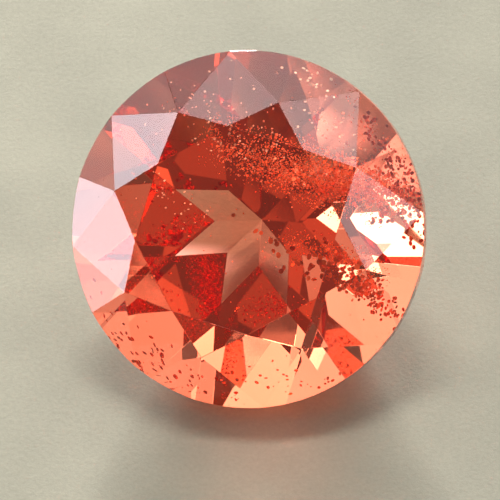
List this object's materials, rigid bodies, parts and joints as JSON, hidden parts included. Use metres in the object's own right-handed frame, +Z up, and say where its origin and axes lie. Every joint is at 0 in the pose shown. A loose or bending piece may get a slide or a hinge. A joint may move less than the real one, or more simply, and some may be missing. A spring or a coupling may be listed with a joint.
{
  "type": "faceted sunstone",
  "caption": "Loose round brilliant-cut sunstone, salmon-red transparent feldspar, lying on a pavilion facet with its table facing forward and up.",
  "frame": {"origin": "middle of the bounding box, on the ground that the stone lies on", "axes": "+X along the width of the stone, across its girdle; +Y away from the side that the table faces; +Z up, out of the pavilion facet that the stone rests on"},
  "size_m": [0.008, 0.006, 0.0059],
  "materials": {
    "copper_feldspar": "vitreous polish, transparent, salmon to deep red through the body"
  },
  "bodies": {
    "root": {"sunstone": "copper_feldspar"}
  },
  "joints": []
}
